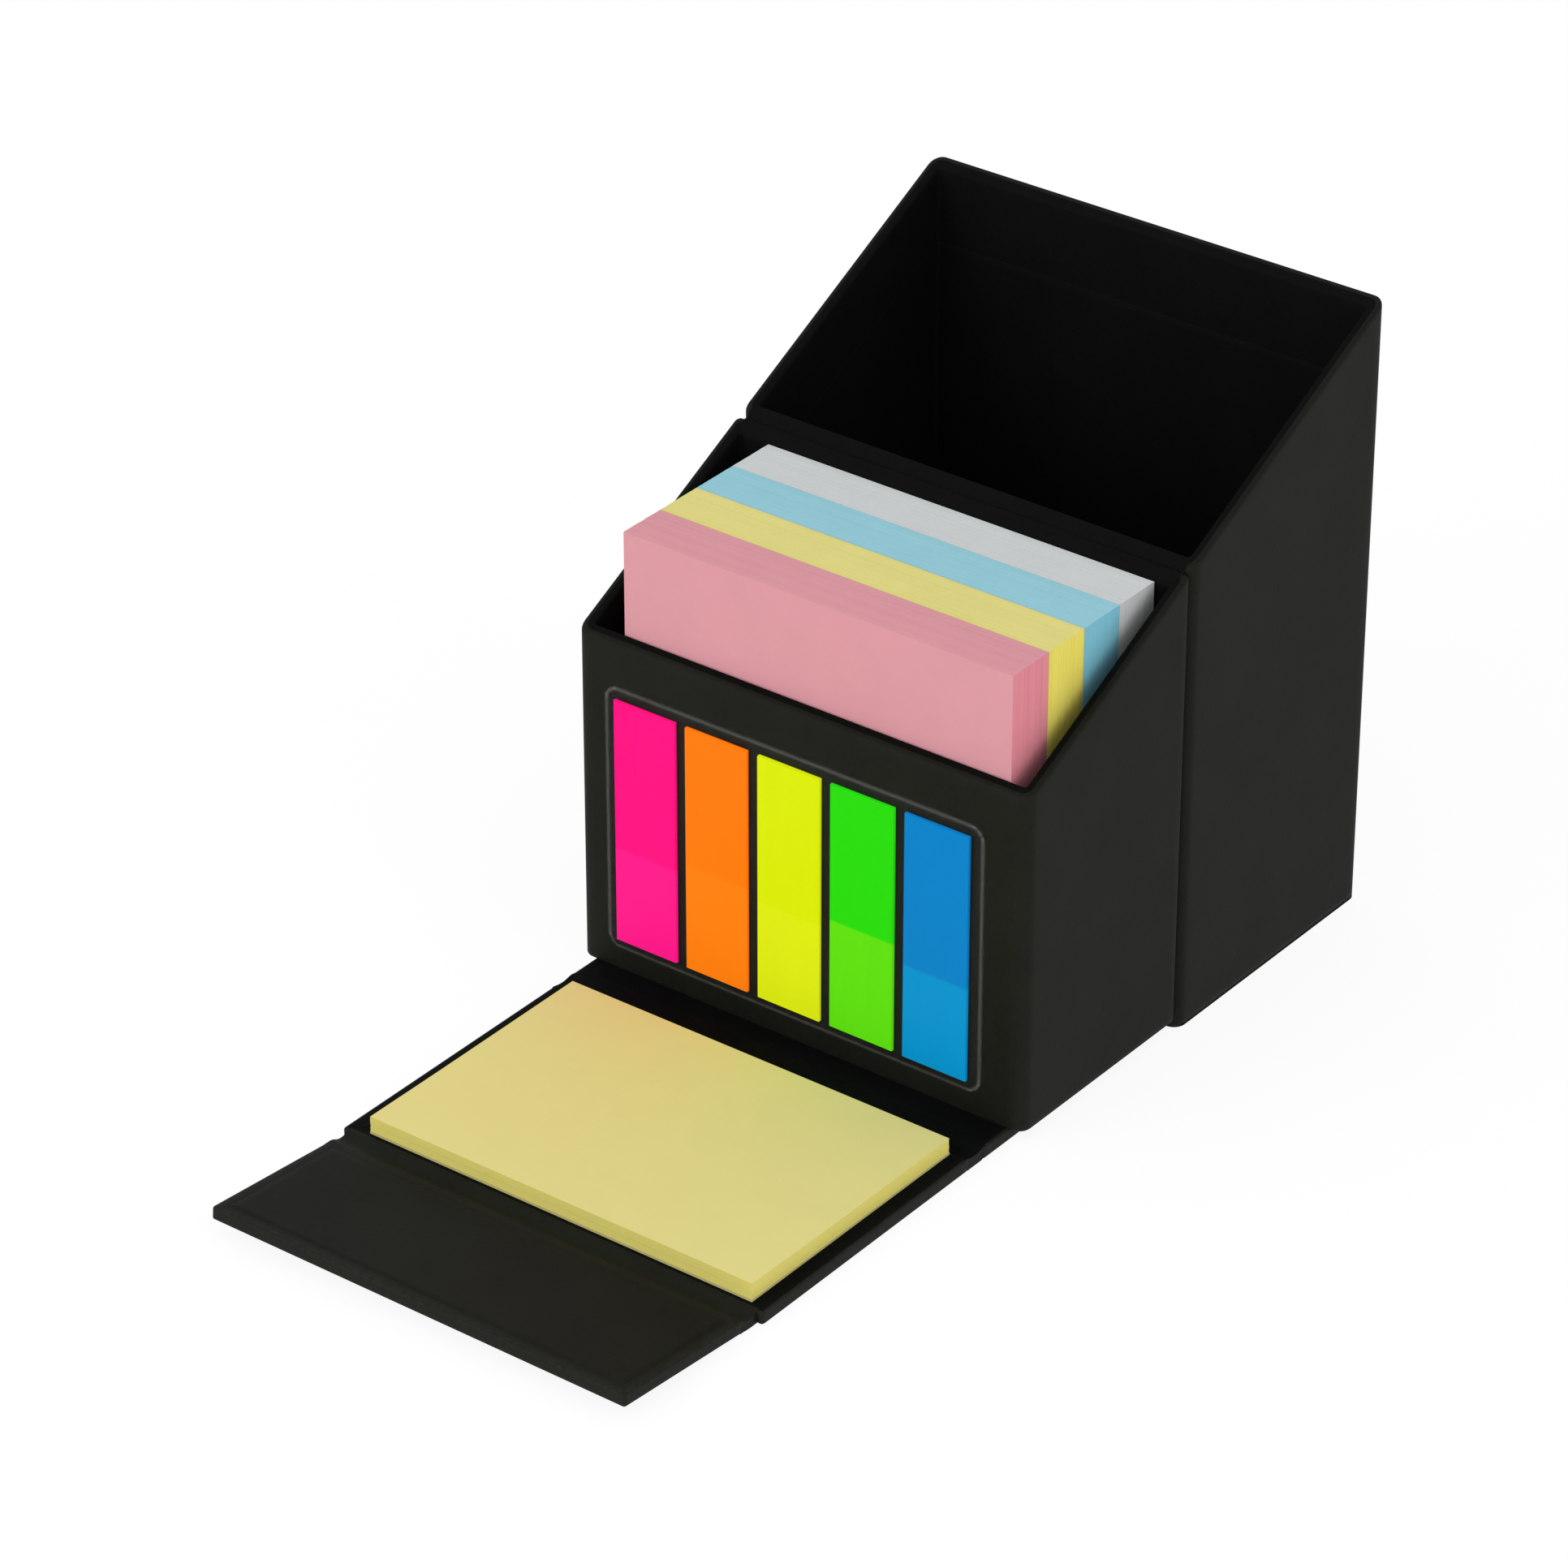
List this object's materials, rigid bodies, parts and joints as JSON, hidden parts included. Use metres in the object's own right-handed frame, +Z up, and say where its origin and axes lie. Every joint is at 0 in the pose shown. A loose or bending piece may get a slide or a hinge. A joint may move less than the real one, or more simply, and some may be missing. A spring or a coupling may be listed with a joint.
{
  "type": "memo pad set",
  "caption": "Black paper-wrapped desk box: the lower half holds memo pads, the lid swings over to stand behind it as a pen holder, and a folding cover carries sticky notes.",
  "frame": {"origin": "middle of the open set's footprint, on the table", "axes": "+X to the right across the boxes, +Y to the rear, +Z up; the set stands open"},
  "size_m": [0.088, 0.1892, 0.1096],
  "materials": {
    "wrap_paper": "matte black uncoated wrap paper",
    "lining_paper": "matte black uncoated lining paper",
    "grey_board": "dense grey board",
    "backing_card": "thin uncoated card",
    "sticky_paper": "matte pastel yellow note paper",
    "pink_paper": "matte pastel pink paper",
    "yellow_paper": "matte pastel yellow paper",
    "blue_paper": "matte pastel blue paper",
    "white_paper": "matte white paper",
    "pink_film": "satin translucent film",
    "orange_film": "satin translucent film",
    "yellow_film": "satin translucent film",
    "green_film": "satin translucent film",
    "blue_film": "satin translucent film",
    "clear_film": "clear glossy film"
  },
  "bodies": {
    "memo_box": {"memo_box_front_board": "grey_board", "memo_box_rear_board": "grey_board", "memo_box_left_board": "grey_board", "memo_box_right_board": "grey_board", "memo_box_floor_board": "grey_board", "memo_box_wrap": "wrap_paper", "memo_box_lining": "lining_paper", "base_board": "grey_board", "base_wrap": "wrap_paper", "base_lining": "lining_paper", "cover_hinge_paper": "wrap_paper", "lid_hinge_leaf_memo_box": "wrap_paper", "flag_sleeve_back": "clear_film", "flag_sleeve_front": "clear_film", "flag_pink": "pink_film", "flag_orange": "orange_film", "flag_yellow": "yellow_film", "flag_green": "green_film", "flag_blue": "blue_film"},
    "pen_holder": {"pen_holder_front_board": "grey_board", "pen_holder_rear_board": "grey_board", "pen_holder_left_board": "grey_board", "pen_holder_right_board": "grey_board", "pen_holder_floor_board": "grey_board", "pen_holder_wrap": "wrap_paper", "pen_holder_lining": "lining_paper", "pen_holder_bottom_paper": "wrap_paper", "lid_hinge_leaf_pen_holder": "wrap_paper"},
    "cover_panel": {"cover_panel_board": "grey_board", "cover_panel_wrap": "wrap_paper", "cover_panel_lining": "lining_paper", "flap_hinge_paper": "wrap_paper", "sticky_pad_card": "backing_card", "sticky_pad_sheets": "sticky_paper"},
    "cover_flap": {"cover_flap_board": "grey_board", "cover_flap_wrap": "wrap_paper", "cover_flap_lining": "lining_paper"},
    "memo_pad_pink": {"memo_pad_pink": "pink_paper"},
    "memo_pad_yellow": {"memo_pad_yellow": "yellow_paper"},
    "memo_pad_blue": {"memo_pad_blue": "blue_paper"},
    "memo_pad_white": {"memo_pad_white": "white_paper"}
  },
  "joints": [
    {"name": "lid_hinge", "type": "hinge", "parent": "memo_box", "child": "pen_holder", "pos_m": [0, 0.0418, 0.0837], "axis": [-1, 0, 0], "range_deg": [-180, 0]},
    {"name": "cover_hinge", "type": "hinge", "parent": "memo_box", "child": "cover_panel", "pos_m": [0, -0.0082, 0.0002], "axis": [1, 0, 0], "range_deg": [-90, 0]},
    {"name": "flap_hinge", "type": "hinge", "parent": "cover_panel", "child": "cover_flap", "pos_m": [0, -0.0641, 0.0002], "axis": [-1, 0, 0], "range_deg": [0, 85]},
    {"name": "memo_pad_pink_lift", "type": "slide", "parent": "memo_box", "child": "memo_pad_pink", "axis": [0, 0, 1], "range_m": [0, 0.082]},
    {"name": "memo_pad_yellow_lift", "type": "slide", "parent": "memo_box", "child": "memo_pad_yellow", "axis": [0, 0, 1], "range_m": [0, 0.082]},
    {"name": "memo_pad_blue_lift", "type": "slide", "parent": "memo_box", "child": "memo_pad_blue", "axis": [0, 0, 1], "range_m": [0, 0.082]},
    {"name": "memo_pad_white_lift", "type": "slide", "parent": "memo_box", "child": "memo_pad_white", "axis": [0, 0, 1], "range_m": [0, 0.082]}
  ]
}
